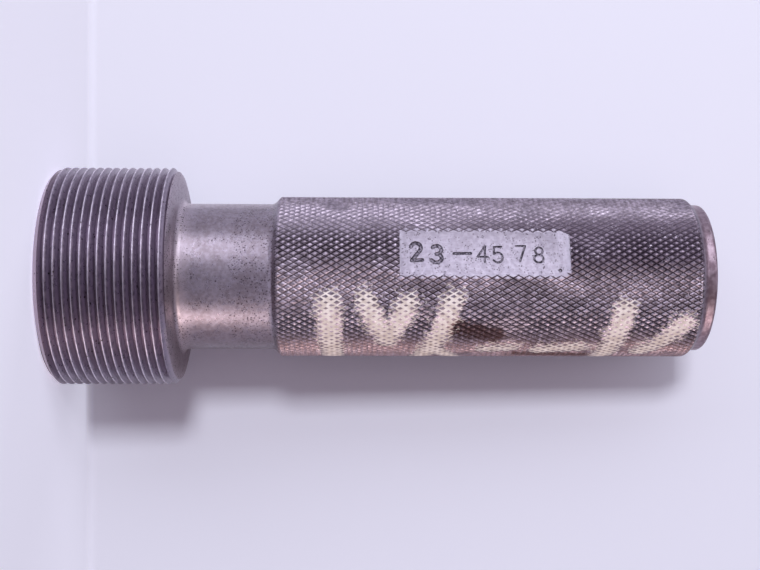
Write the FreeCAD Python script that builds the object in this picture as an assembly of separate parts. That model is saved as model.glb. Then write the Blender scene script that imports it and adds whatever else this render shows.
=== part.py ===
import FreeCAD, Part
import math
import os

os.makedirs("parts", exist_ok=True)

# Thread plug gauge: one piece of steel, with a threaded gauging head, a plain neck,
# a handle whose marking flat is milled into it, and a short boss at the far end.
# Millimetres. The gauge stands on its head: the origin is the centre of the head's
# end face, +Z runs up the axis to the handle, and the marking flat faces -Y.

INCH = 25.4

# Thread: 1 11/16 in - 16, right-hand, 60 degree form, its root cleared to a sharp V
MAJOR_DIAMETER = 1.6875 * INCH
PITCH = INCH / 16
FLANK_ANGLE = 30.0  # each flank, from the plane square to the axis
CREST_FLAT = PITCH / 8
FIRST_GROOVE_HEIGHT = 0.18  # where the groove's middle crosses the +X side of the head

# Head
HEAD_LENGTH = 24.4
LEAD_CHAMFER = 1.1
BACK_CHAMFER_WIDTH = 1.03
BACK_CHAMFER_HEIGHT = 0.8
SHOULDER_TAPER_WIDTH = 2.4
SHOULDER_TAPER_HEIGHT = 0.6

# Neck
NECK_DIAMETER = 28.8
NECK_LENGTH = 18.2
SHOULDER_FILLET = 1.3

# Handle, with a bevel at each end of its full diameter
HANDLE_DIAMETER = 31.64
HANDLE_LENGTH = 82.45
FRONT_BEVEL_HEIGHT = 1.25
REAR_BEVEL_HEIGHT = 1.5
FRONT_EDGE_ROUNDING = 0.7
REAR_EDGE_ROUNDING = 1.0

# Boss at the end of the handle
BOSS_DIAMETER = 29.04
BOSS_LENGTH = 1.95
BOSS_CHAMFER = 0.55

# Marking flat: a square wall at its lower end, a shallow run-out at its upper end
FLAT_OFFSET = 24.2  # from the foot of the handle's front bevel
FLAT_LENGTH = 32.1
FLAT_DEPTH = 0.82
RUNOUT_LENGTH = 1.4
RUNOUT_RISE = 0.25

# Lathe centre hole in each end: a 60 degree seat and a drilled pilot
CENTRE_MOUTH_DIAMETER = 5.0
CENTRE_PILOT_DIAMETER = 2.0
CENTRE_PILOT_DEPTH = 2.4
CENTRE_SEAT_ANGLE = 30.0  # from the axis
DRILL_POINT_ANGLE = 59.0  # from the axis


def vector(radius, height):
    """A point of the section, which lies on the -Y side of the axis."""
    return FreeCAD.Vector(0, -radius, height)


def tan(degrees):
    return math.tan(math.radians(degrees))


def rounded(before, corner, after, radius):
    """The arc of this radius that is tangent to both lines of a corner."""
    back = (before - corner).normalize()
    ahead = (after - corner).normalize()
    half = back.getAngle(ahead) / 2
    inward = (back + ahead).normalize()
    start = corner + back * (radius / math.tan(half))
    end = corner + ahead * (radius / math.tan(half))
    middle = corner + inward * (radius / math.sin(half) - radius)
    return Part.Arc(start, middle, end)


def section(corners):
    """A face from corners (radius, height, rounding), closed by a line along the axis."""
    points = [vector(radius, height) for radius, height, _ in corners]
    edges = []
    last = points[0]
    for i in range(1, len(points)):
        rounding = corners[i][2]
        if rounding:
            arc = rounded(points[i - 1], points[i], points[i + 1], rounding)
            edges += [Part.makeLine(last, arc.StartPoint), arc.toShape()]
            last = arc.EndPoint
        else:
            edges.append(Part.makeLine(last, points[i]))
            last = points[i]
    edges.append(Part.makeLine(last, points[0]))
    return Part.Face(Part.Wire(edges))


def centre_hole(face_height, inward):
    """Corners of a centre hole from its drilled point out to its mouth in an end face."""
    mouth = CENTRE_MOUTH_DIAMETER / 2
    pilot = CENTRE_PILOT_DIAMETER / 2
    seat_depth = (mouth - pilot) / tan(CENTRE_SEAT_ANGLE)
    pilot_depth = seat_depth + CENTRE_PILOT_DEPTH
    point_depth = pilot_depth + pilot / tan(DRILL_POINT_ANGLE)
    return [
        (0, face_height + inward * point_depth, 0),
        (pilot, face_height + inward * pilot_depth, 0),
        (pilot, face_height + inward * seat_depth, 0),
        (mouth, face_height, 0),
    ]


def turned_blank():
    """Everything that the lathe makes: head blank, neck, handle, boss and centre holes."""
    head = MAJOR_DIAMETER / 2
    neck = NECK_DIAMETER / 2
    handle = HANDLE_DIAMETER / 2
    boss = BOSS_DIAMETER / 2
    handle_foot = HEAD_LENGTH + NECK_LENGTH
    boss_foot = handle_foot + HANDLE_LENGTH
    top = boss_foot + BOSS_LENGTH
    taper_start = HEAD_LENGTH - SHOULDER_TAPER_HEIGHT
    rim = head - BACK_CHAMFER_WIDTH
    corners = [
        *centre_hole(0, 1),
        (head - LEAD_CHAMFER, 0, 0),
        (head, LEAD_CHAMFER, 0),
        (head, taper_start - BACK_CHAMFER_HEIGHT, 0),
        (rim, taper_start, 0),
        (rim - SHOULDER_TAPER_WIDTH, HEAD_LENGTH, 0),
        (neck, HEAD_LENGTH, SHOULDER_FILLET),
        (neck, handle_foot, 0),
        (handle, handle_foot + FRONT_BEVEL_HEIGHT, FRONT_EDGE_ROUNDING),
        (handle, boss_foot - REAR_BEVEL_HEIGHT, REAR_EDGE_ROUNDING),
        (boss, boss_foot, 0),
        (boss, top - BOSS_CHAMFER, 0),
        (boss - BOSS_CHAMFER, top, 0),
        *reversed(centre_hole(top, -1)),
    ]
    return section(corners).revolve(vector(0, 0), FreeCAD.Vector(0, 0, 1), 360)


def groove_turns():
    """The helical groove as one solid for each turn. It runs out past both ends of the head."""
    stand_out = CREST_FLAT / 2  # how far the cutter stands clear of the crests
    outer = MAJOR_DIAMETER / 2 + stand_out
    mouth_half = (PITCH - CREST_FLAT) / 2 + stand_out * tan(FLANK_ANGLE)
    root = outer - mouth_half / tan(FLANK_ANGLE)
    outline = [(root, 0), (outer, -mouth_half), (outer, mouth_half), (root, 0)]
    path = Part.makeHelix(PITCH, PITCH, root)
    profile = Part.makePolygon([FreeCAD.Vector(x, 0, z) for x, z in outline])
    turn = Part.Wire(path.Edges).makePipeShell([profile], True, True)
    start = FIRST_GROOVE_HEIGHT - 2 * PITCH
    turns = math.ceil((HEAD_LENGTH - start) / PITCH) + 1
    return [turn.translated(FreeCAD.Vector(0, 0, start + i * PITCH)) for i in range(turns)]


def marking_flat():
    """What the cutter takes off the handle for the flat."""
    handle = HANDLE_DIAMETER / 2
    floor = handle - FLAT_DEPTH
    low = HEAD_LENGTH + NECK_LENGTH + FLAT_OFFSET
    high = low + FLAT_LENGTH
    clear = handle + FLAT_DEPTH
    outline = [
        (floor, low),
        (floor, high - RUNOUT_LENGTH),
        (floor + RUNOUT_RISE, high),
        (clear, high),
        (clear, low),
        (floor, low),
    ]
    profile = Part.Face(Part.makePolygon([vector(radius, height) for radius, height in outline]))
    profile.translate(FreeCAD.Vector(-handle, 0, 0))
    return profile.extrude(FreeCAD.Vector(2 * handle, 0, 0))


# Each turn ends where the next one starts, so they come off one after another
gauge = turned_blank()
for groove_turn in groove_turns():
    gauge = gauge.cut(groove_turn)
gauge = gauge.cut(marking_flat())
gauge.Solids[0].exportStep("parts/plug_gauge.step")
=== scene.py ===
import math

import bmesh
import bpy
import numpy as np
from mathutils import Matrix, Vector, noise


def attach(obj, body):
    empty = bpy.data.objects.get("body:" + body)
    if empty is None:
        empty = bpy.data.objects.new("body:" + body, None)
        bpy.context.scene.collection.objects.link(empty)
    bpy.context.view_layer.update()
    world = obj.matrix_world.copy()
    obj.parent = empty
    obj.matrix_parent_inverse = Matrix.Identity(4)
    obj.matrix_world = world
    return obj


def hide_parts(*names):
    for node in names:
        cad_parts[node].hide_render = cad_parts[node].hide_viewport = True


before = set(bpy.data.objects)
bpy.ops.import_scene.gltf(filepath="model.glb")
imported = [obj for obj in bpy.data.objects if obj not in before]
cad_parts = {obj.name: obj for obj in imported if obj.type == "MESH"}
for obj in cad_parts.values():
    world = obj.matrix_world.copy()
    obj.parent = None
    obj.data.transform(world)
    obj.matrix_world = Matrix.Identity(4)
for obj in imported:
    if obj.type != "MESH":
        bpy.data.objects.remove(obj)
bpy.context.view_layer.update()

# Thread plug gauge, one piece of steel. It stands on its head: the origin is the centre of the
# head's end face, +Z runs up the axis to the handle, and the marking flat faces -Y.

# ---------------------------------------------------------------- sizes, in millimetres

MM = 0.001
INCH = 25.4

# Thread: 1 11/16 in - 16, with crests that are slightly worn
MAJOR_RADIUS = 1.6875 * INCH / 2
PITCH = INCH / 16
FLANK_ANGLE = math.radians(30)
CREST_FLAT = PITCH / 8
CREST_BEVEL = 0.02  # how far down the flank the worn edge of a crest starts
CREST_BEVEL_ANGLE = math.radians(55)
GROOVE_CLEARANCE = 0.03  # how far the groove's cutter stands clear of the crests
FIRST_GROOVE_HEIGHT = 0.18

# Head, neck, handle and boss
HEAD_LENGTH = 24.4
LEAD_CHAMFER = 1.1
BACK_CHAMFER_WIDTH = 1.03
BACK_CHAMFER_HEIGHT = 0.8
SHOULDER_TAPER_WIDTH = 2.4
SHOULDER_TAPER_HEIGHT = 0.6
SHOULDER_FILLET = 1.3
NECK_RADIUS = 14.4
HANDLE_FOOT = HEAD_LENGTH + 18.2
HANDLE_RADIUS = 15.82
BOSS_FOOT = HANDLE_FOOT + 82.45
BOSS_RADIUS = 14.52
TOP = BOSS_FOOT + 1.95

# Bevels at the handle's two ends
FRONT_BEVEL_TOP = HANDLE_FOOT + 1.25
REAR_BEVEL_FOOT = BOSS_FOOT - 1.5
FOOT_FILLET = 1.3
FRONT_EDGE_ROUNDING = 0.7
REAR_EDGE_ROUNDING = 1.0
BOSS_FILLET = 0.9
BOSS_EDGE_ROUNDING = 0.7
BEVEL_RUN = 5.0  # what a bevel's outline has of the straight wall beside it

# Marking flat
FLAT_LOW = HANDLE_FOOT + 24.2
FLAT_HIGH = FLAT_LOW + 32.1
FLAT_FLOOR = HANDLE_RADIUS - 0.82
FLAT_HALF_WIDTH = 5.03
RUNOUT_FOOT = FLAT_HIGH - 1.4
RUNOUT_RISE = 0.25

# Centre holes
CENTRE_MOUTH = 2.5
CENTRE_PILOT = 1.0
CENTRE_SEAT_DEPTH = (CENTRE_MOUTH - CENTRE_PILOT) / math.tan(math.radians(30))
CENTRE_PILOT_DEPTH = CENTRE_SEAT_DEPTH + 2.4
CENTRE_POINT_DEPTH = CENTRE_PILOT_DEPTH + CENTRE_PILOT / math.tan(math.radians(59))

# Diamond knurl
KNURL_STARTS = 85  # grooves of each hand round the handle
KNURL_STEP = 2.0  # spacing of the grooves along the handle
KNURL_DEPTH = 0.23
KNURL_GROOVE = 0.32  # half of a groove's width, as a share of the spacing
KNURL_INSET = 0.02  # how far the diamonds' tops lie inside the handle's radius
KNURL_LOW = HANDLE_FOOT + 0.75
KNURL_HIGH = BOSS_FOOT - 0.9
KNURL_GAP = 0.02  # between the knurl's ends and the plain rings that it is stitched to
KNURL_WAVER = 0.05  # how far a groove strays sideways
KNURL_UNEVENNESS = 0.4  # how much a groove's depth varies, as a share of it
PAINT_FILL = 0.35  # what paint leaves of a groove's depth
SLICE_REACH = 3.0  # faces further than this from a slice across the knurl are left alone

VIEW_TURN = math.radians(16.7)  # how far the camera stands round from the marking flat

# Which faces have the thread's finish
THREAD_FINISH_LOW = 0.2
THREAD_FINISH_HIGH = HEAD_LENGTH - 0.8
THREAD_FINISH_RADIUS = 18.0  # and nothing nearer the axis

# How finely round shapes are divided
RING_POINTS = 184
ARC_STEPS = 6
DOUBLES = 0.00001  # points nearer each other than this are one point


# ---------------------------------------------------------------- mesh helpers

class Shell:
    """Points and faces of one closed surface, in millimetres."""

    def __init__(self):
        self.points = []
        self.faces = []

    def add(self, points):
        """Adds points, and returns their indices."""
        first = len(self.points)
        self.points.extend(points)
        return list(range(first, len(self.points)))

    def ring(self, radius, height):
        """Adds a ring of points round the axis."""
        turns = [2 * math.pi * i / RING_POINTS for i in range(RING_POINTS)]
        return self.add([(radius * math.cos(t), radius * math.sin(t), height) for t in turns])

    def band(self, lower, upper):
        """Quads between two rings of one count, facing away from the axis where upper is higher."""
        count = len(lower)
        for i in range(count):
            j = (i + 1) % count
            self.faces.append((lower[i], lower[j], upper[j], upper[i]))

    def fan(self, ring, height, upward):
        """A cone from a ring to its tip on the axis."""
        tip = self.add([(0, 0, height)])[0]
        count = len(ring)
        for i in range(count):
            a, b = ring[i], ring[(i + 1) % count]
            self.faces.append((a, b, tip) if upward else (b, a, tip))

    def stitch(self, lower, upper):
        """Triangles between two rings of different counts, matched by angle."""
        lower = sorted(lower, key=self.angle)
        upper = sorted(upper, key=self.angle)
        i = j = 0
        while i < len(lower) or j < len(upper):
            a, b = lower[i % len(lower)], upper[j % len(upper)]
            lower_is_next = self.next_angle(lower, i) <= self.next_angle(upper, j)
            if j >= len(upper) or (i < len(lower) and lower_is_next):
                self.faces.append((a, lower[(i + 1) % len(lower)], b))
                i += 1
            else:
                self.faces.append((a, upper[(j + 1) % len(upper)], b))
                j += 1

    def angle(self, index):
        """Where a point lies round the axis."""
        x, y, _ = self.points[index]
        return math.atan2(y, x) % (2 * math.pi)

    def next_angle(self, ring, i):
        """Where the point after number i of a ring lies, counted on past a full turn."""
        turns, place = divmod(i + 1, len(ring))
        return self.angle(ring[place]) + 2 * math.pi * turns


def metre_mesh(name, points, faces):
    """A mesh in metres from points in millimetres."""
    mesh = bpy.data.meshes.new(name)
    mesh.from_pydata([[c * MM for c in p] for p in points], [], faces)
    mesh.update()
    return mesh


def add_object(name, data):
    """An object in the scene that shows this mesh, lamp or camera."""
    piece = bpy.data.objects.new(name, data)
    bpy.context.scene.collection.objects.link(piece)
    return piece


def arc(before, corner, after, radius):
    """Points (radius, height) of the arc that rounds a corner."""
    before, corner, after = Vector(before), Vector(corner), Vector(after)
    back, ahead = (before - corner).normalized(), (after - corner).normalized()
    half = back.angle(ahead) / 2
    centre = corner + (back + ahead).normalized() * (radius / math.sin(half))
    start = corner + back * (radius / math.tan(half)) - centre
    end = corner + ahead * (radius / math.tan(half)) - centre
    step = -start.angle_signed(end) / ARC_STEPS
    return [tuple(centre + Matrix.Rotation(step * i, 2) @ start) for i in range(ARC_STEPS + 1)]


def rounded_line(corners):
    """Points (radius, height) along corners given as (radius, height, rounding)."""
    line = []
    for i, (radius, height, rounding) in enumerate(corners):
        if rounding:
            line += arc(corners[i - 1][:2], (radius, height), corners[i + 1][:2], rounding)
        else:
            line.append((radius, height))
    return line


FRONT_BEVEL = rounded_line([
    (NECK_RADIUS, HANDLE_FOOT - BEVEL_RUN, 0),
    (NECK_RADIUS, HANDLE_FOOT, FOOT_FILLET),
    (HANDLE_RADIUS, FRONT_BEVEL_TOP, FRONT_EDGE_ROUNDING),
    (HANDLE_RADIUS, FRONT_BEVEL_TOP + BEVEL_RUN, 0),
])
REAR_BEVEL = rounded_line([
    (HANDLE_RADIUS, REAR_BEVEL_FOOT - BEVEL_RUN, 0),
    (HANDLE_RADIUS, REAR_BEVEL_FOOT, REAR_EDGE_ROUNDING),
    (BOSS_RADIUS, BOSS_FOOT, BOSS_FILLET),
    (BOSS_RADIUS, TOP, BOSS_EDGE_ROUNDING),
    (BOSS_RADIUS - 4, TOP, 0),
])


def profile_radius(height):
    """The handle's turned radius at a height. The boss's end face is left out of the outline."""
    line = FRONT_BEVEL if height < (FLAT_LOW + FLAT_HIGH) / 2 else REAR_BEVEL
    wall = [(h, r) for r, h in line if r > BOSS_RADIUS - 0.2]
    return float(np.interp(height, [h for h, _ in wall], [r for _, r in wall]))


# ---------------------------------------------------------------- the knurl

# Strokes of cream paint brushed on the knurl, and an old stain between them: start and end as
# (height, way round the handle), and half the stroke's width. The way round is in millimetres, from
# the line nearest the camera and down the picture.
PAINT = [
    ((53.4, 5.0), (54.4, 26.0), 2.2),
    ((60.4, 4.6), (64.6, 14.0), 2.0),
    ((64.6, 14.0), (68.4, 5.2), 2.0),
    ((77.0, 4.6), (70.0, 26.0), 2.0),
    ((73.6, 17.0), (79.0, 25.0), 1.8),
    ((83.6, 17.4), (88.6, 16.6), 1.5),
    ((94.0, 17.6), (102.0, 16.4), 1.8),
    ((109.4, 6.4), (106.0, 26.0), 2.1),
    ((114.0, 18.4), (121.0, 9.4), 1.9),
]
STAIN = [
    ((77.5, 10.5), (85.0, 12.5), 2.2),
    ((90.0, 20.0), (103.0, 21.0), 1.6),
]


def is_painted(turn, height):
    """Whether a stroke of paint covers a place on the handle."""
    within_half_a_turn = math.atan2(math.sin(turn), math.cos(turn))
    here = Vector((height, HANDLE_RADIUS * (within_half_a_turn + math.pi / 2 - VIEW_TURN)))
    for start, end, half in PAINT:
        start, along = Vector(start), Vector(end) - Vector(start)
        share = min(1.0, max(0.0, (here - start).dot(along) / along.length_squared))
        if (here - start - along * share).length < half:
            return True
    return False


def knurl_point(turn, height, in_groove):
    """A point of the lattice, where the grooves stray a little and are not equally deep."""
    place = Vector((math.cos(turn) * 3, math.sin(turn) * 3, height * 0.12))
    depth = 0.0
    if in_groove:
        depth = KNURL_DEPTH * (1 + KNURL_UNEVENNESS * noise.noise(place))
        if is_painted(turn, height):
            depth *= PAINT_FILL
    radius = HANDLE_RADIUS - KNURL_INSET - depth
    turn += noise.noise(place * 1.7) * KNURL_WAVER / HANDLE_RADIUS
    return (radius * math.cos(turn), radius * math.sin(turn), height)


def knurl_points_and_faces():
    """The diamond lattice as a band round the handle.

    A groove of each hand runs along every whole alpha and beta, with alpha = turn + climb and
    beta = turn - climb. Each spacing is split at the groove's two lips, so a diamond's top is one
    quad, and the corners where grooves cross are split from the crossing to the diamond's corner.
    """
    lips = (0.0, KNURL_GROOVE, 1 - KNURL_GROOVE)
    split = len(lips)
    per_turn = split * KNURL_STARTS
    per_climb = split * 2
    low = math.floor(KNURL_LOW / KNURL_STEP) - 1
    high = math.ceil(KNURL_HIGH / KNURL_STEP) + 1
    index, points, faces = {}, [], []

    def point(m, n):
        key = (m % per_turn, n - per_turn * (m // per_turn))
        if key not in index:
            alpha = key[0] // split + lips[key[0] % split]
            beta = key[1] // split + lips[key[1] % split]
            in_groove = key[0] % split == 0 or key[1] % split == 0
            turn = 2 * math.pi * (alpha + beta) / 2 / KNURL_STARTS
            index[key] = len(points)
            points.append(knurl_point(turn, (alpha - beta) / 2 * KNURL_STEP, in_groove))
        return index[key]

    for m in range(per_turn):
        for n in range(m - per_climb * (high + 1), m - per_climb * (low - 1)):
            if not low - 0.5 <= (m - n) / per_climb <= high + 0.5:
                continue
            a, b, c, d = point(m, n), point(m, n + 1), point(m + 1, n + 1), point(m + 1, n)
            at_crossing = m % split != 1 and n % split != 1
            if not at_crossing:
                faces.append((a, b, c, d))
            elif m % split == n % split:
                faces += [(a, b, c), (a, c, d)]
            else:
                faces += [(a, b, d), (b, c, d)]
    return points, faces


def slice_band(band, height, **clear):
    """Splits the band along a height. With clear_inner or clear_outer, it ends there.

    The parts are handed over in a fixed order, so that each run gives the same mesh.
    """
    near = [f for f in band.faces if clear or abs(f.calc_center_median().z - height) < SLICE_REACH]
    parts = dict.fromkeys(part for f in near for part in (*f.edges, *f.verts))
    bmesh.ops.bisect_plane(band, geom=[*near, *parts], dist=1e-5, plane_co=(0, 0, height),
                           plane_no=(0, 0, 1), **clear)


def knurl_band():
    """The lattice trimmed to the handle, its ends running out over the two bevels."""
    points, faces = knurl_points_and_faces()
    mesh = bpy.data.meshes.new("lattice")
    mesh.from_pydata(points, [], faces)
    band = bmesh.new()
    band.from_mesh(mesh)
    bpy.data.meshes.remove(mesh)
    slice_band(band, KNURL_LOW, clear_inner=True)
    slice_band(band, KNURL_HIGH, clear_outer=True)
    for _, height in FRONT_BEVEL + REAR_BEVEL:
        if KNURL_LOW + 0.05 < height < KNURL_HIGH - 0.05:
            slice_band(band, height)
    for vert in band.verts:
        radius = math.hypot(vert.co.x, vert.co.y)
        limit = profile_radius(vert.co.z)
        if radius > limit:
            vert.co.x *= limit / radius
            vert.co.y *= limit / radius
    return band


def edge_rings(band):
    """Indices of the points along the band's lower and upper edges."""
    band.verts.index_update()
    rims = dict.fromkeys(v for e in band.edges if e.is_boundary for v in e.verts)
    middle = (KNURL_LOW + KNURL_HIGH) / 2
    return [v.index for v in rims if v.co.z < middle], [v.index for v in rims if v.co.z > middle]


# ---------------------------------------------------------------- the gauge's body

def head_line():
    """Points (radius, height) from the head's centre hole up to the knurl's lower edge."""
    rim = MAJOR_RADIUS - BACK_CHAMFER_WIDTH
    taper_start = HEAD_LENGTH - SHOULDER_TAPER_HEIGHT
    line = rounded_line([
        (CENTRE_PILOT, CENTRE_PILOT_DEPTH, 0),
        (CENTRE_PILOT, CENTRE_SEAT_DEPTH, 0),
        (CENTRE_MOUTH, 0, 0),
        (MAJOR_RADIUS - LEAD_CHAMFER, 0, 0),
        (MAJOR_RADIUS, LEAD_CHAMFER, 0),
        (MAJOR_RADIUS, taper_start - BACK_CHAMFER_HEIGHT, 0),
        (rim, taper_start, 0),
        (rim - SHOULDER_TAPER_WIDTH, HEAD_LENGTH, 0),
        (NECK_RADIUS, HEAD_LENGTH, SHOULDER_FILLET),
        (NECK_RADIUS, HANDLE_FOOT - BEVEL_RUN - 1, 0),
    ])
    end = KNURL_LOW - KNURL_GAP
    line += [(radius, height) for radius, height in FRONT_BEVEL[1:] if height < end]
    line.append((profile_radius(end), end))
    return line


def boss_line():
    """Points (radius, height) from the knurl's upper edge to the boss's centre hole."""
    start = KNURL_HIGH + KNURL_GAP
    line = [(profile_radius(start), start)]
    line += [(radius, height) for radius, height in REAR_BEVEL[:-1] if height > start]
    line.append((CENTRE_MOUTH, TOP))
    line.append((CENTRE_PILOT, TOP - CENTRE_SEAT_DEPTH))
    line.append((CENTRE_PILOT, TOP - CENTRE_PILOT_DEPTH))
    return line


def body_mesh():
    """The whole gauge before its thread, its flat and its stamps are cut."""
    shell = Shell()
    rings = [shell.ring(radius, height) for radius, height in head_line()]
    for lower, upper in zip(rings, rings[1:]):
        shell.band(lower, upper)
    shell.fan(rings[0], CENTRE_POINT_DEPTH, upward=False)

    band = knurl_band()
    low, high = edge_rings(band)
    first = len(shell.points)
    shell.add([tuple(v.co) for v in band.verts])
    shell.faces += [tuple(first + v.index for v in f.verts) for f in band.faces]
    band.free()
    shell.stitch(rings[-1], [first + i for i in low])

    rings = [shell.ring(radius, height) for radius, height in boss_line()]
    shell.stitch([first + i for i in high], rings[0])
    for lower, upper in zip(rings, rings[1:]):
        shell.band(lower, upper)
    shell.fan(rings[-1], TOP - CENTRE_POINT_DEPTH, upward=True)
    return metre_mesh("plug_gauge_body", shell.points, shell.faces)


# ---------------------------------------------------------------- what is cut out of the body

def tube(name, sections):
    """A closed solid through sections, which are rings of as many points in millimetres."""
    size = len(sections[0])
    last = size * (len(sections) - 1)
    faces = [tuple(range(size)), tuple(range(last, last + size))]
    for first in range(0, last, size):
        for i in range(size):
            j = (i + 1) % size
            faces.append((first + i, first + j, first + size + j, first + size + i))
    mesh = metre_mesh(name, [point for section in sections for point in section], faces)
    shape = bmesh.new()
    shape.from_mesh(mesh)
    bmesh.ops.recalc_face_normals(shape, faces=shape.faces)
    shape.to_mesh(mesh)
    shape.free()
    return add_object(name, mesh)


def combine(piece, tool, operation):
    """Unites the tool with the piece or cuts it out of the piece, and deletes the tool."""
    step = piece.modifiers.new("combine", "BOOLEAN")
    step.operation = operation
    step.solver = "MANIFOLD"
    step.object = tool
    with bpy.context.temp_override(object=piece, active_object=piece):
        bpy.ops.object.modifier_apply(modifier=step.name)
    bpy.data.objects.remove(tool)


def merge_doubles(piece):
    """Merges points that a cut left on one spot, so that no facet between them lacks an area."""
    shape = bmesh.new()
    shape.from_mesh(piece.data)
    bmesh.ops.remove_doubles(shape, verts=shape.verts, dist=DOUBLES * MM)
    shape.to_mesh(piece.data)
    shape.free()


def groove_cutter():
    """The V groove of the thread, as one helical solid that flares at the worn crests."""
    half_mouth = (PITCH - CREST_FLAT) / 2
    root = MAJOR_RADIUS - half_mouth / math.tan(FLANK_ANGLE)
    lip_radius = MAJOR_RADIUS - CREST_BEVEL
    lip = (lip_radius - root) * math.tan(FLANK_ANGLE)
    outer = MAJOR_RADIUS + GROOVE_CLEARANCE
    mouth = lip + (outer - lip_radius) * math.tan(CREST_BEVEL_ANGLE)
    outline = [(root, 0), (lip_radius, lip), (outer, mouth), (outer, -mouth), (lip_radius, -lip)]
    start = FIRST_GROOVE_HEIGHT - 2 * PITCH
    turns = math.ceil((HEAD_LENGTH - start) / PITCH) + 1
    sections = []
    for i in range(turns * RING_POINTS + 1):
        turn = 2 * math.pi * i / RING_POINTS
        rise = start + PITCH * i / RING_POINTS
        sections.append([(r * math.cos(turn), r * math.sin(turn), rise + h) for r, h in outline])
    return tube("groove", sections)


def flat_cutter():
    """What the milling cutter takes off for the marking flat."""
    clear = HANDLE_RADIUS + 1
    outline = [
        (FLAT_FLOOR, FLAT_LOW),
        (FLAT_FLOOR, RUNOUT_FOOT),
        (FLAT_FLOOR + RUNOUT_RISE, FLAT_HIGH),
        (clear, FLAT_HIGH),
        (clear, FLAT_LOW),
    ]
    ends = (-HANDLE_RADIUS, HANDLE_RADIUS)
    return tube("flat", [[(x, -radius, height) for radius, height in outline] for x in ends])


# Strokes of the stamped signs in a box 0.6 wide and 1 high: lines between two points, and arcs
# given as (centre, radii, from and to in degrees)
SIGNS = {
    "2": [("arc", 0.3, 0.72, 0.28, 0.28, 165, -38), ("line", 0.52, 0.55, 0.02, 0),
          ("line", 0.02, 0, 0.6, 0)],
    "3": [("arc", 0.28, 0.75, 0.26, 0.25, 150, -90), ("arc", 0.28, 0.26, 0.31, 0.26, 90, -150)],
    "4": [("line", 0.44, 0, 0.44, 1), ("line", 0.44, 1, 0, 0.32), ("line", 0, 0.32, 0.62, 0.32)],
    "5": [("line", 0.55, 1, 0.1, 1), ("line", 0.1, 1, 0.06, 0.56),
          ("arc", 0.28, 0.32, 0.3, 0.32, 135, -150)],
    "7": [("line", 0, 1, 0.58, 1), ("line", 0.58, 1, 0.2, 0)],
    "8": [("arc", 0.3, 0.76, 0.23, 0.24, 0, 360), ("arc", 0.3, 0.26, 0.29, 0.26, 0, 360)],
    "-": [("line", 0, 0.5, 1, 0.5)],
    ".": [("line", 0.3, 0.02, 0.3, 0)],
}

# What is stamped on the flat: sign, start and foot from the flat's lower left, height, width of the
# stroke, and lean in degrees
BLUNT, MIDDLING, FINE = 0.85, 0.6, 0.42
STAMPS = [
    ("2", 2.2, 3.6, 3.4, BLUNT, 4),
    ("3", 5.9, 3.3, 3.3, BLUNT, -3),
    ("-", 10.2, 3.4, 3.2, MIDDLING, 1),
    ("4", 14.6, 3.4, 3.1, FINE, -2),
    ("5", 17.6, 3.2, 3.1, FINE, 3),
    ("7", 22.0, 3.5, 3.0, FINE, 2),
    ("8", 25.2, 3.3, 3.0, FINE, -3),
    (".", 29.3, 1.7, 2.6, BLUNT, 0),
]
STAMP_DEPTH = 0.2
STAMP_CLEARANCE = 0.1  # how far a stamped stroke's solid stands out of the flat
STAMP_FLARE = 0.05  # how much wider it is there on each side
STROKE_END_STEPS = 4  # of the half circle at each end of a stroke
DEGREES_PER_STRETCH = 24  # of a stroke that is an arc


def stroke_points(stroke):
    """Points along one stroke of a sign."""
    kind, *numbers = stroke
    if kind == "line":
        return [numbers[:2], numbers[2:]]
    x, y, width, height, start, end = numbers
    steps = max(6, round(abs(end - start) / DEGREES_PER_STRETCH))
    turns = [math.radians(start + (end - start) * i / steps) for i in range(steps + 1)]
    return [(x + width * math.cos(t), y + height * math.sin(t)) for t in turns]


def pressed(start, end, width):
    """One straight stretch of a stamped stroke: round ended, and narrower at its bottom."""
    along = math.atan2(end[1] - start[1], end[0] - start[0])
    sections = []
    for radius, reach in ((FLAT_FLOOR + STAMP_CLEARANCE, width / 2 + STAMP_FLARE),
                          (FLAT_FLOOR - STAMP_DEPTH, width / 4)):
        section = []
        for tip, base in ((end, -90), (start, 90)):
            for i in range(STROKE_END_STEPS + 1):
                t = along + math.radians(base + 180 * i / STROKE_END_STEPS)
                up = tip[1] + reach * math.sin(t)
                section.append((-up, -radius, tip[0] + reach * math.cos(t)))
        sections.append(section)
    return tube("stroke", sections)


def add_stamps(tool):
    """Unites every stamped stroke with the tool that cuts the flat."""
    for sign, left, foot, height, width, lean in STAMPS:
        tilt = math.radians(lean)
        for stroke in SIGNS[sign]:
            places = []
            for x, y in stroke_points(stroke):
                x, y = x * height, y * height
                places.append((FLAT_LOW + left + x * math.cos(tilt) - y * math.sin(tilt),
                               foot - FLAT_HALF_WIDTH + x * math.sin(tilt) + y * math.cos(tilt)))
            for start, end in zip(places, places[1:]):
                combine(tool, pressed(start, end, width), "UNION")


def finished_body():
    """The gauge with its flat, its stamps and its thread."""
    body = add_object("plug_gauge_body", body_mesh())
    tool = flat_cutter()
    add_stamps(tool)
    combine(body, tool, "DIFFERENCE")
    combine(body, groove_cutter(), "DIFFERENCE")
    merge_doubles(body)
    return body


# ---------------------------------------------------------------- materials

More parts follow.
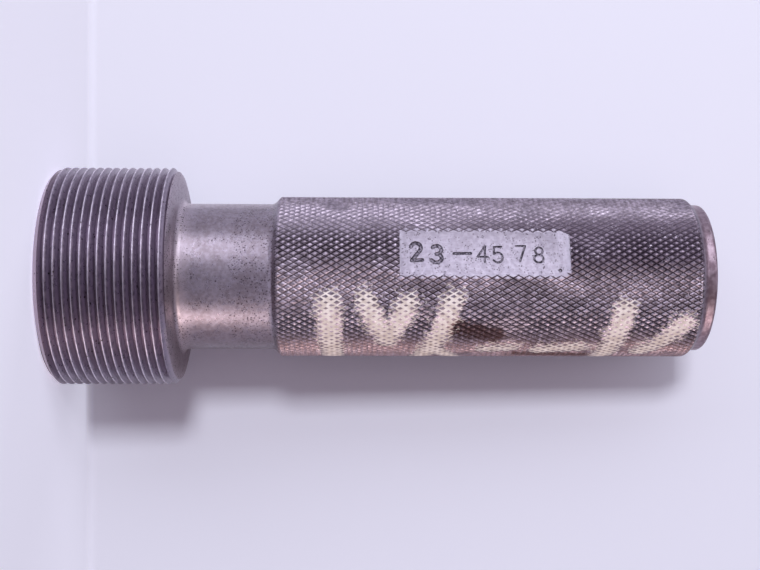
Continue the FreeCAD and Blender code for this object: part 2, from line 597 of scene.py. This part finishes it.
class Nodes:
    """A material with one Principled shader, and short calls that add nodes to it."""

    def __init__(self, name):
        self.material = bpy.data.materials.new(name)
        self.material.use_nodes = True
        self.tree = self.material.node_tree
        self.shader = self.tree.nodes["Principled BSDF"]

    def put(self, socket, value):
        """Links a socket to another one, or sets it to a number, a vector or a colour."""
        if isinstance(value, bpy.types.NodeSocket):
            self.tree.links.new(value, socket)
        elif socket.type == "RGBA":
            socket.default_value = (*value, 1)
        else:
            socket.default_value = value

    def math(self, operation, a, b=0.0, clamp=False):
        """The result of a sum on one or two numbers."""
        node = self.tree.nodes.new("ShaderNodeMath")
        node.operation = operation
        node.use_clamp = clamp
        self.put(node.inputs[0], a)
        self.put(node.inputs[1], b)
        return node.outputs[0]

    def plus(self, a, b):
        return self.math("ADD", a, b)

    def minus(self, a, b):
        return self.math("SUBTRACT", a, b)

    def times(self, a, b):
        return self.math("MULTIPLY", a, b)

    def larger(self, a, b):
        return self.math("MAXIMUM", a, b)

    def vector(self, operation, a, b=(0, 0, 0)):
        """The result of a sum on one or two vectors."""
        node = self.tree.nodes.new("ShaderNodeVectorMath")
        node.operation = operation
        self.put(node.inputs[0], a)
        self.put(node.inputs[1], b)
        return node.outputs["Value" if operation in ("LENGTH", "DOT_PRODUCT") else "Vector"]

    def split(self, vector):
        """The three numbers of a vector."""
        node = self.tree.nodes.new("ShaderNodeSeparateXYZ")
        self.put(node.inputs[0], vector)
        return node.outputs


class Surface(Nodes):
    """A material of the gauge. Places and sizes are in millimetres, and colours are linear."""

    def __init__(self, name):
        super().__init__(name)
        place = self.tree.nodes.new("ShaderNodeTexCoord").outputs["Object"]
        self.place = self.vector("MULTIPLY", place, (1 / MM, 1 / MM, 1 / MM))
        self.x, self.y, self.z = self.split(self.place)

    def step(self, value, low, high, start=0.0, end=1.0):
        """start below low, end above high, and a smooth step between them."""
        node = self.tree.nodes.new("ShaderNodeMapRange")
        node.interpolation_type = "SMOOTHSTEP"
        for socket, number in zip(node.inputs, (value, low, high, start, end)):
            self.put(socket, number)
        return node.outputs[0]

    def between(self, value, rise, fall):
        """1 between a smooth rise and a smooth fall, each given by its two ends, and 0 outside."""
        return self.times(self.step(value, *rise), self.step(value, *fall, 1.0, 0.0))

    def noise(self, size, detail, shift=0.0, stretch=(1, 1, 1)):
        """Noise around 0.5 with features of about this size."""
        node = self.tree.nodes.new("ShaderNodeTexNoise")
        place = self.vector("MULTIPLY", self.place, stretch)
        self.put(node.inputs["Vector"], self.vector("ADD", place, (shift, shift, shift)))
        node.inputs["Scale"].default_value = 1 / size
        node.inputs["Detail"].default_value = detail
        return node.outputs[0]

    def specks(self, size, radius, shift=0.0):
        """1 in round specks scattered one to a cell of this size, and 0 between them."""
        node = self.tree.nodes.new("ShaderNodeTexVoronoi")
        self.put(node.inputs["Vector"], self.vector("ADD", self.place, (shift, shift, shift)))
        node.inputs["Scale"].default_value = 1 / size
        return self.step(node.outputs["Distance"], radius * 0.6, radius, 1.0, 0.0)

    def mix(self, amount, a, b):
        """Colour a where amount is 0, b where it is 1."""
        node = self.tree.nodes.new("ShaderNodeMix")
        node.data_type = "RGBA"
        self.put(node.inputs["Factor"], amount)
        self.put(node.inputs[6], a)
        self.put(node.inputs[7], b)
        return node.outputs[2]

    def mottle(self, dark, pale, size, detail, spread=0.15, shift=0.0):
        """Two colours in patches of about this size, the sharper the smaller the spread."""
        patches = self.step(self.noise(size, detail, shift), 0.5 - spread, 0.5 + spread)
        return self.mix(patches, dark, pale)

    def radius(self):
        """Distance from the gauge's axis."""
        return self.math("SQRT", self.plus(self.times(self.x, self.x), self.times(self.y, self.y)))

    def turn(self):
        """Angle round the gauge's axis, in radians."""
        return self.math("ARCTAN2", self.y, self.x)

    def way_round(self, radius):
        """Distance round a cylinder from the line nearest the camera, down the picture."""
        return self.times(self.plus(self.turn(), math.pi / 2 - VIEW_TURN), radius)

    def lattice(self):
        """0 in the middle of a knurled diamond, 0.5 in the grooves round it."""
        turn = self.times(self.turn(), KNURL_STARTS / (2 * math.pi))
        climb = self.times(self.z, 1 / KNURL_STEP)
        whole = 500  # keeps the sums that follow above zero
        distances = []
        for operation in ("ADD", "SUBTRACT"):
            share = self.math("FRACT", self.plus(self.math(operation, turn, climb), whole))
            distances.append(self.math("ABSOLUTE", self.minus(share, 0.5)))
        return self.larger(*distances)

    def from_line(self, place, start, end):
        """Distance of a place from the straight line between two points."""
        along = Vector((end[0] - start[0], end[1] - start[1], 0))
        away = self.vector("SUBTRACT", place, (*start, 0))
        reach = self.vector("DOT_PRODUCT", away, along / along.length_squared)
        share = self.math("MULTIPLY", reach, 1, clamp=True)
        nearest = self.vector("MULTIPLY", share, along)
        return self.vector("LENGTH", self.vector("SUBTRACT", away, nearest))

    def inside(self, strokes, way):
        """How far inside the nearest of some strokes a place on the handle lies."""
        node = self.tree.nodes.new("ShaderNodeCombineXYZ")
        self.put(node.inputs[0], self.z)
        self.put(node.inputs[1], way)
        deepest = None
        for start, end, half in strokes:
            depth = self.minus(half, self.from_line(node.outputs[0], start, end))
            deepest = self.larger(deepest, depth) if deepest else depth
        return deepest

    def bump(self, height, depth):
        """A bump from a height in the range 0 to 1, this many millimetres deep."""
        node = self.tree.nodes.new("ShaderNodeBump")
        node.inputs["Distance"].default_value = depth * MM
        self.put(node.inputs["Height"], height)
        self.put(self.shader.inputs["Normal"], node.outputs[0])

    def finish(self, colour, metallic, roughness):
        """Connects the shader, and returns the material."""
        self.put(self.shader.inputs["Base Color"], colour)
        self.put(self.shader.inputs["Metallic"], metallic)
        self.put(self.shader.inputs["Roughness"], roughness)
        return self.material


def ground_steel():
    """Head's end, shoulder, neck and boss: dull steel, mottled, with dark pits near its corners."""
    s = Surface("ground_steel")
    cloud = s.plus(s.times(s.noise(5, 4), 0.45), s.times(s.noise(0.7, 4, shift=5), 0.55))
    colour = s.mix(s.step(cloud, 0.35, 0.65), (0.20, 0.165, 0.19), (0.285, 0.25, 0.295))
    # Painted highlight: the head's end and shoulder are paler, fading out up the neck, for the
    # light the shoulder catches
    painted_shoulder_highlight = s.step(s.z, HEAD_LENGTH, HEAD_LENGTH + 4.1, 0.45, 0.0)
    colour = s.mix(painted_shoulder_highlight, colour, (0.50, 0.43, 0.49))
    # Darker and browner along a band round the lower side of the picture
    darker_lower_side = s.between(s.way_round(NECK_RADIUS), (8.0, 15.0), (27.0, 35.0))
    colour = s.mix(s.times(darker_lower_side, 0.45), colour, (0.15, 0.10, 0.11))
    boss = s.step(s.z, BOSS_FOOT - 1, BOSS_FOOT - 0.3)
    brown = s.mottle((0.175, 0.125, 0.155), (0.27, 0.21, 0.25), 1.1, 5, spread=0.14, shift=70)
    colour = s.mix(boss, colour, brown)
    by_shoulder = s.step(s.z, 23.0, 29.0, 1.0, 0.0)
    by_handle = s.between(s.z, (33.5, 37), (43.5, 45))
    in_corner = s.larger(by_shoulder, by_handle)
    patches = s.plus(s.noise(2.4, 4, shift=40), s.times(in_corner, 0.17))
    pits = s.times(s.specks(0.5, 0.34), s.step(patches, 0.55, 0.62))
    fine_pits = s.times(s.specks(0.28, 0.36, shift=13), s.step(patches, 0.45, 0.6))
    dark = s.larger(pits, s.times(fine_pits, 0.5))
    colour = s.mix(s.times(dark, 0.85), colour, (0.035, 0.024, 0.032))
    s.bump(s.minus(s.noise(0.35, 4, shift=9), pits), 0.014)
    # Rougher by the shoulder and on the boss
    dull_and_painted_shade = s.larger(s.step(s.z, 24.5, 28.0, 1.0, 0.0), boss)
    uneven = s.step(s.noise(0.9, 4, shift=3), 0.3, 0.7, 0.26, 0.36)
    return s.finish(colour, 1.0, s.plus(uneven, s.times(dull_and_painted_shade, 0.15)))


def thread_steel():
    """The thread: grimy flanks, paler towards their roots as painted light, below thin bright
    crests, darker along a band on the near side as painted shade.
    """
    s = Surface("thread_steel")
    crest = s.step(s.radius(), MAJOR_RADIUS - 0.05, MAJOR_RADIUS - 0.01)
    # Painted light: the flanks are paler towards their roots, lifting the shade in the grooves
    deep = s.step(s.radius(), MAJOR_RADIUS - 0.9, MAJOR_RADIUS - 0.25, 1.0, 0.0)
    shallow = s.mottle((0.18, 0.15, 0.195), (0.26, 0.215, 0.275), 0.8, 5)
    grime = s.mix(deep, shallow, (0.30, 0.255, 0.315))
    worn = s.mottle((0.36, 0.32, 0.38), (0.56, 0.51, 0.58), 1.1, 4, shift=21)
    # Painted shade: the crests are darker along a band round the side nearest the camera, for the
    # dark reflection they show there
    dull_and_painted_shade = s.between(s.way_round(MAJOR_RADIUS), (-6.0, 2.0), (8.0, 14.0))
    worn = s.mix(s.times(dull_and_painted_shade, 0.62), worn, (0.10, 0.085, 0.105))
    colour = s.mix(crest, grime, worn)
    # Painted reflection: paler at the lead, for the pale floor that its chamfer reflects
    lead_reflection = s.step(s.z, 0.9, 1.4, 0.6, 0.0)
    colour = s.mix(lead_reflection, colour, (0.55, 0.46, 0.50))
    pits = s.times(s.specks(0.9, 0.28, shift=31), s.step(s.noise(3, 3, shift=17), 0.55, 0.62))
    colour = s.mix(pits, colour, (0.05, 0.035, 0.04))
    s.bump(s.noise(0.25, 3), 0.004)
    uneven = s.step(s.noise(0.8, 3), 0.3, 0.7, 0.27, 0.37)
    return s.finish(colour, 1.0, s.plus(uneven, s.times(crest, 0.05)))


def knurl_steel():
    """The handle: worn diamonds over dark grooves, with cream paint brushed across them."""
    s = Surface("knurl_steel")
    lattice = s.lattice()
    groove = s.step(lattice, 0.36, 0.46)
    way = s.way_round(HANDLE_RADIUS)

    # Diamonds, and grooves that are dark but for a band near the top of the picture, where a
    # painted sheen lightens them
    painted_groove_sheen = s.times(s.between(way, (-34.0, -26.0), (-17.0, -11.5)), 0.75)
    dark = s.times(groove, s.minus(1.0, painted_groove_sheen))
    worn = s.mottle((0.145, 0.12, 0.145), (0.30, 0.255, 0.31), 0.9, 5, spread=0.14)
    colour = s.mix(dark, worn, (0.045, 0.032, 0.04))

    # Bands along the handle: a painted highlight along the top of the picture, a darker patch
    # beside the flat towards the boss, a faint paler patch by the neck, a darker and browner band
    # round the lower side, and pale grains
    # Painted highlight: paler along a band near the top of the picture, a little less towards the
    # boss
    painted_top_highlight = s.between(way, (-24.0, -11.0), (-12.0, -5.0))
    painted_top_highlight = s.times(painted_top_highlight, s.step(s.z, 62.0, 100.0, 0.3, 0.2))
    colour = s.mix(painted_top_highlight, colour, (0.42, 0.37, 0.45))
    beside_flat = s.step(s.math("ABSOLUTE", s.plus(way, 7)), 3.0, 8.0, 1.0, 0.0)
    far = s.times(s.step(s.z, 70.0, 100.0), beside_flat)
    colour = s.mix(s.times(far, 0.6), colour, (0.07, 0.05, 0.075))
    near_neck = s.times(s.step(s.z, 48.0, 66.0, 1.0, 0.0), s.step(way, -4.0, 2.0))
    colour = s.mix(s.times(near_neck, 0.08), colour, (0.42, 0.36, 0.41))
    # Darker and browner along a band round the lower side of the picture
    darker_lower_side = s.between(way, (11.0, 17.0), (30.0, 38.0))
    colour = s.mix(s.times(darker_lower_side, 0.5), colour, (0.19, 0.12, 0.12))
    grains = s.times(s.specks(0.45, 0.3, shift=23), s.step(s.noise(2.2, 3, shift=60), 0.5, 0.62))
    colour = s.mix(s.times(grains, 0.7), colour, (0.45, 0.41, 0.48))

    # The stain, and the paint with its ragged edge, which the tops of the diamonds show through
    ragged = s.times(s.minus(s.noise(1.1, 4, shift=80), 0.5), 2.4)
    stain = s.step(s.plus(s.inside(STAIN, way), s.times(ragged, 1.8)), -0.8, 1.2)
    colour = s.mix(s.times(stain, 0.8), colour, (0.05, 0.022, 0.02))
    inside = s.plus(s.inside(PAINT, way), ragged)
    bare = s.plus(s.step(inside, 0.2, 1.5, 0.0, 0.16), s.times(s.noise(0.9, 3, shift=90), 0.13))
    off_tops = s.step(s.minus(lattice, s.minus(0.44, bare)), -0.05, 0.05)
    whiskers = s.times(groove, s.step(s.noise(1.6, 2, shift=15), 0.45, 0.6, 0.1, 1.3))
    paint = s.times(s.step(s.plus(inside, whiskers), -0.3, 0.15), off_tops)
    cream = s.mottle((0.49, 0.44, 0.42), (0.665, 0.63, 0.63), 1.3, 4, shift=33)
    colour = s.mix(paint, colour, cream)

    s.bump(s.noise(0.3, 3), 0.02)
    uneven = s.step(s.noise(0.6, 3), 0.3, 0.7, 0.36, 0.5)
    return s.finish(colour, s.minus(1.0, paint), s.larger(uneven, s.times(paint, 0.75)))


def flat_steel():
    """The marking flat: paler, with fine scratches and dark specks."""
    s = Surface("flat_steel")
    colour = s.mottle((0.24, 0.216, 0.262), (0.295, 0.27, 0.322), 0.8, 4)
    scratches = s.step(s.noise(0.16, 2, shift=5, stretch=(1, 1, 0.07)), 0.56, 0.68)
    colour = s.mix(s.times(scratches, 0.25), colour, (0.16, 0.14, 0.18))
    patches = s.step(s.noise(1.4, 3, shift=12), 0.45, 0.58)
    specks = s.times(s.specks(0.42, 0.4, shift=44), patches)
    colour = s.mix(s.times(specks, 0.85), colour, (0.07, 0.055, 0.07))
    # Painted highlight: paler on the run-out ramp, whose tilted face catches the light
    runout_highlight = s.step(s.z, RUNOUT_FOOT - 0.1, RUNOUT_FOOT + 0.1)
    colour = s.mix(s.times(runout_highlight, 0.4), colour, (0.34, 0.315, 0.37))
    return s.finish(colour, 1.0, 0.5)


def stamped_steel():
    """Inside the stamped strokes: dark with old grime."""
    s = Surface("stamped_steel")
    colour = s.mottle((0.035, 0.03, 0.04), (0.17, 0.15, 0.185), 0.35, 3, spread=0.1)
    return s.finish(colour, 1.0, 0.5)


FINISHES = (ground_steel, thread_steel, knurl_steel, flat_steel, stamped_steel)


def finish_of(face):
    """The finish of a face, from where it lies and how it faces."""
    x, y, z = face.center / MM
    radius = math.hypot(x, y)
    above_floor = -y - FLAT_FLOOR
    in_flat = FLAT_LOW < z < FLAT_HIGH
    well_inside = abs(x) < FLAT_HALF_WIDTH - 0.43 and radius < HANDLE_RADIUS - 0.5
    if in_flat and well_inside and -0.3 < above_floor < -0.02:
        return stamped_steel
    if in_flat and face.normal.y < -0.97 and abs(above_floor) < RUNOUT_RISE + 0.01:
        return flat_steel
    if KNURL_LOW < z < KNURL_HIGH:
        return knurl_steel
    if THREAD_FINISH_LOW < z < THREAD_FINISH_HIGH and radius > THREAD_FINISH_RADIUS:
        return thread_steel
    return ground_steel


def dress(body):
    """Gives each face its material, and the shading of its edges."""
    mesh = body.data
    mesh.materials.clear()
    for make in FINISHES:
        mesh.materials.append(make())
    for face in mesh.polygons:
        finish = finish_of(face)
        face.material_index = FINISHES.index(finish)
        face.use_smooth = finish not in (flat_steel, stamped_steel)
    mesh.set_sharp_from_angle(angle=math.radians(32))


def gauge():
    """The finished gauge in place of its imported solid."""
    body = finished_body()
    dress(body)
    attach(body, "root")
    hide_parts("plug_gauge")
    return body


# ---------------------------------------------------------------- the stage, lamps and camera

# Axes of the view: along the gauge, from the gauge towards the camera, and down the picture
ALONG = Vector((0, 0, 1))
NEAR = Vector((math.sin(VIEW_TURN), -math.cos(VIEW_TURN), 0))
DOWN = ALONG.cross(NEAR)

# The camera, fitted to the photo. Its place is in metres
CAMERA_PLACE = ALONG * 0.0588 + NEAR * 0.23097 + DOWN * 0.00165
CAMERA_YAW = math.radians(1.148)
CAMERA_ROLL = math.radians(0.159)
LENS = 54.76
SENSOR_WIDTH = 36

# The stage, in metres. Its floor and backdrop reach well past what the camera sees
STAGE_REACH = 6.0
BACKDROP_HEIGHT = 3.0
COVE_RADIUS = 0.0022
BACKDROP_GAP = 0.0001  # between the backdrop and the gauge that rests on it
STAGE_COLOUR = (0.83, 0.835, 0.95)
STAGE_GLOW = (0.335, 0.34, 0.405)
WORLD_COLOUR = (0.185, 0.156, 0.181)

LAMP_TARGET = ALONG * 0.06


def camera():
    """The camera, at the place and tilt that the photo was taken from."""
    data = bpy.data.cameras.new("camera")
    data.lens = LENS
    data.sensor_width = SENSOR_WIDTH
    data.clip_start = 0.01
    yawed = ALONG * math.cos(CAMERA_YAW) + NEAR * math.sin(CAMERA_YAW)
    right = (yawed - DOWN * CAMERA_ROLL).normalized()
    back = (NEAR * math.cos(CAMERA_YAW) - ALONG * math.sin(CAMERA_YAW)).normalized()
    turn = Matrix((right, back.cross(right), back)).transposed().to_4x4()
    eye = add_object("camera", data)
    eye.matrix_world = Matrix.Translation(CAMERA_PLACE) @ turn
    bpy.context.scene.camera = eye


def stage_material():
    """A pale material, which glows where it faces up, as the lamps stand level with the floor.

    It shows in the picture and in reflections, from its front only.
    """
    s = Nodes("backdrop")
    s.put(s.shader.inputs["Base Color"], STAGE_COLOUR)
    s.put(s.shader.inputs["Roughness"], 0.9)
    s.put(s.shader.inputs["Specular IOR Level"], 0.0)
    s.put(s.shader.inputs["Emission Color"], STAGE_GLOW)
    side = s.tree.nodes.new("ShaderNodeNewGeometry").outputs
    facing_up = s.split(side["Normal"])[2]
    level = s.math("COSINE", s.math("ARCSINE", facing_up))
    s.put(s.shader.inputs["Emission Strength"], s.minus(1.0, level))
    path = s.tree.nodes.new("ShaderNodeLightPath").outputs
    shown = s.larger(path["Is Camera Ray"], path["Is Glossy Ray"])
    shown = s.larger(shown, path["Is Transmission Ray"])
    shown = s.math("SUBTRACT", shown, side["Backfacing"], clamp=True)
    clear = s.tree.nodes.new("ShaderNodeBsdfTransparent")
    mix = s.tree.nodes.new("ShaderNodeMixShader")
    s.put(mix.inputs[0], shown)
    s.put(mix.inputs[1], clear.outputs[0])
    s.put(mix.inputs[2], s.shader.outputs[0])
    s.put(s.tree.nodes["Material Output"].inputs["Surface"], mix.outputs[0])
    return s.material


def stage():
    """A pale floor, and a backdrop that leans on the head and the handle's end.

    The backdrop can't be seen from behind, where the floor runs on.
    """
    lean = (MAJOR_RADIUS - HANDLE_RADIUS) / (REAR_BEVEL_FOOT - HEAD_LENGTH)
    foot = (MAJOR_RADIUS + lean * HEAD_LENGTH) * MM + BACKDROP_GAP
    cove_start = foot - COVE_RADIUS
    line = [(-STAGE_REACH, 0)]
    for degrees in range(0, 90, 15):
        turn = math.radians(degrees)
        line.append((cove_start + COVE_RADIUS * math.sin(turn),
                     COVE_RADIUS - COVE_RADIUS * math.cos(turn)))
    line.append((foot - lean * COVE_RADIUS, COVE_RADIUS))
    line.append((foot - lean * BACKDROP_HEIGHT, BACKDROP_HEIGHT))
    line.append((STAGE_REACH, 0))
    points = []
    for side in (-STAGE_REACH, STAGE_REACH):
        points += [ALONG * height - NEAR * depth + DOWN * side for depth, height in line]
    count = len(line)
    faces = [(i, count + i, count + i + 1, i + 1) for i in range(count - 2)]
    floor_behind = (1, count + 1, 2 * count - 1, count - 1)
    mesh = bpy.data.meshes.new("backdrop")
    mesh.from_pydata(points, [], faces + [floor_behind])
    mesh.update()
    for face in mesh.polygons:
        face.use_smooth = True
    mesh.set_sharp_from_angle(angle=math.radians(40))
    mesh.materials.append(stage_material())
    backdrop = add_object("backdrop", mesh)
    return backdrop


def lamp(name, direction, distance, size, power, colour, only=None):
    """A soft lamp that faces the gauge, in metres and watts. With only, it lights nothing else."""
    data = bpy.data.lights.new(name, "AREA")
    data.shape = "RECTANGLE"
    data.size, data.size_y = size
    data.energy = power
    data.color = colour
    piece = add_object(name, data)
    z = direction.normalized()
    x = (ALONG - z * ALONG.dot(z)).normalized()
    piece.location = LAMP_TARGET + z * distance
    piece.rotation_euler = Matrix((x, z.cross(x), z)).transposed().to_euler()
    if only:
        lit = bpy.data.collections.new(name)
        lit.objects.link(only)
        piece.light_linking.receiver_collection = lit


def towards(degrees):
    """A direction this far round from the camera towards the top of the picture."""
    turn = math.radians(degrees)
    return NEAR * math.cos(turn) - DOWN * math.sin(turn)


def lights(body, backdrop):
    """The room's even light, and soft lamps round the gauge."""
    world = bpy.data.worlds.new("world")
    bpy.context.scene.world = world
    world.use_nodes = True
    world.node_tree.nodes["Background"].inputs[0].default_value = (*WORLD_COLOUR, 1)
    lamp("shadow", towards(25), 1.2, (0.2, 0.2), 7.3, (0.95, 0.96, 1.0), only=backdrop)
    lamp("sky", towards(47), 0.8, (1.4, 0.36), 2.4, (0.90, 0.94, 1.0))
    lamp("sheen", towards(45), 0.84, (1.4, 0.54), 8.6, (0.92, 0.92, 1.0), only=body)
    lamp("fill", towards(-8), 1.2, (1.0, 1.0), 1.3, (1.0, 0.86, 0.97), only=backdrop)
    lamp("foot", towards(35) - ALONG * 1.2, 0.8, (0.5, 0.5), 0.7, (0.96, 0.94, 1.0), only=body)
    lamp("side", ALONG * 1.6 + towards(30), 0.8, (0.5, 0.5), 1.4, (0.95, 0.92, 1.0))
    lamp("back", towards(125), 0.7, (0.6, 0.4), 3.2, (0.95, 0.93, 1.0))
    lamp("warm", towards(-67), 0.8, (1.4, 0.18), 7.8, (1.0, 0.84, 0.78), only=body)


plug_gauge = gauge()
lights(plug_gauge, stage())
camera()
bpy.context.scene.view_settings.view_transform = "Standard"
